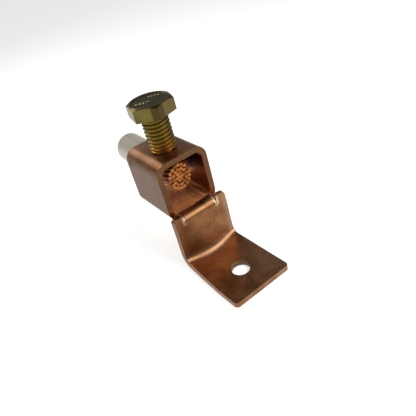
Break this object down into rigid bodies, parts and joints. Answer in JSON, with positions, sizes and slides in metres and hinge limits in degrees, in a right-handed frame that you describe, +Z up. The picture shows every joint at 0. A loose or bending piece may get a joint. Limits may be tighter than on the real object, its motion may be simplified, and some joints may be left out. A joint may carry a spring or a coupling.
{
  "type": "ground clamp",
  "caption": "Copper box lug ground clamp: a square tube with a bent drilled tang, a hex clamp bolt through its roof and a stranded cable stub held under it.",
  "frame": {"origin": "centre of the tang's fixing hole, on the tang's underside", "axes": "+Z up along the clamp bolt and the fixing hole, +Y from the tang to the cable, +X across the tang, to the right seen from the tang's free end"},
  "size_m": [0.0296, 0.1072, 0.0731],
  "materials": {
    "copper": "browned copper, satin, stained and scratched",
    "yellow_zinc": "yellow passivated zinc on steel, faintly iridescent",
    "pvc": "cream PVC, semi-gloss",
    "strand_copper": "bright bare copper wire, freshly cut ends"
  },
  "bodies": {
    "clamp": {"clamp_body": "copper"},
    "bolt_point": {"bolt_tip": "yellow_zinc"},
    "bolt": {"clamp_bolt": "yellow_zinc"},
    "cable": {"cable_jacket": "pvc", "strand_01": "strand_copper", "strand_02": "strand_copper", "strand_03": "strand_copper", "strand_04": "strand_copper", "strand_05": "strand_copper", "strand_06": "strand_copper", "strand_07": "strand_copper", "strand_08": "strand_copper", "strand_09": "strand_copper", "strand_10": "strand_copper", "strand_11": "strand_copper", "strand_12": "strand_copper", "strand_13": "strand_copper", "strand_14": "strand_copper", "strand_15": "strand_copper", "strand_16": "strand_copper", "strand_17": "strand_copper", "strand_18": "strand_copper", "strand_19": "strand_copper", "strand_20": "strand_copper", "strand_21": "strand_copper", "strand_22": "strand_copper", "strand_23": "strand_copper", "strand_24": "strand_copper", "strand_25": "strand_copper", "strand_26": "strand_copper", "strand_27": "strand_copper", "strand_28": "strand_copper", "strand_29": "strand_copper", "strand_30": "strand_copper", "strand_31": "strand_copper", "strand_32": "strand_copper", "strand_33": "strand_copper", "strand_34": "strand_copper", "strand_35": "strand_copper", "strand_36": "strand_copper", "strand_37": "strand_copper"}
  },
  "joints": [
    {"name": "bolt_travel", "type": "slide", "parent": "clamp", "child": "bolt_point", "axis": [0, 0, 1], "range_m": [0, 0.00438]},
    {"name": "bolt_turn", "type": "hinge", "parent": "bolt_point", "child": "bolt", "pos_m": [0, 0.0384, 0.06], "axis": [0, 0, 1], "range_deg": [0, 900.1]},
    {"name": "cable_pull", "type": "slide", "parent": "clamp", "child": "cable", "axis": [0.0891, 0.9928, -0.0802], "range_m": [0, 0.026]}
  ],
  "couplings": [
    {"joint": "bolt_turn", "follows": "bolt_travel", "rad_per_m": 3590.4}
  ]
}
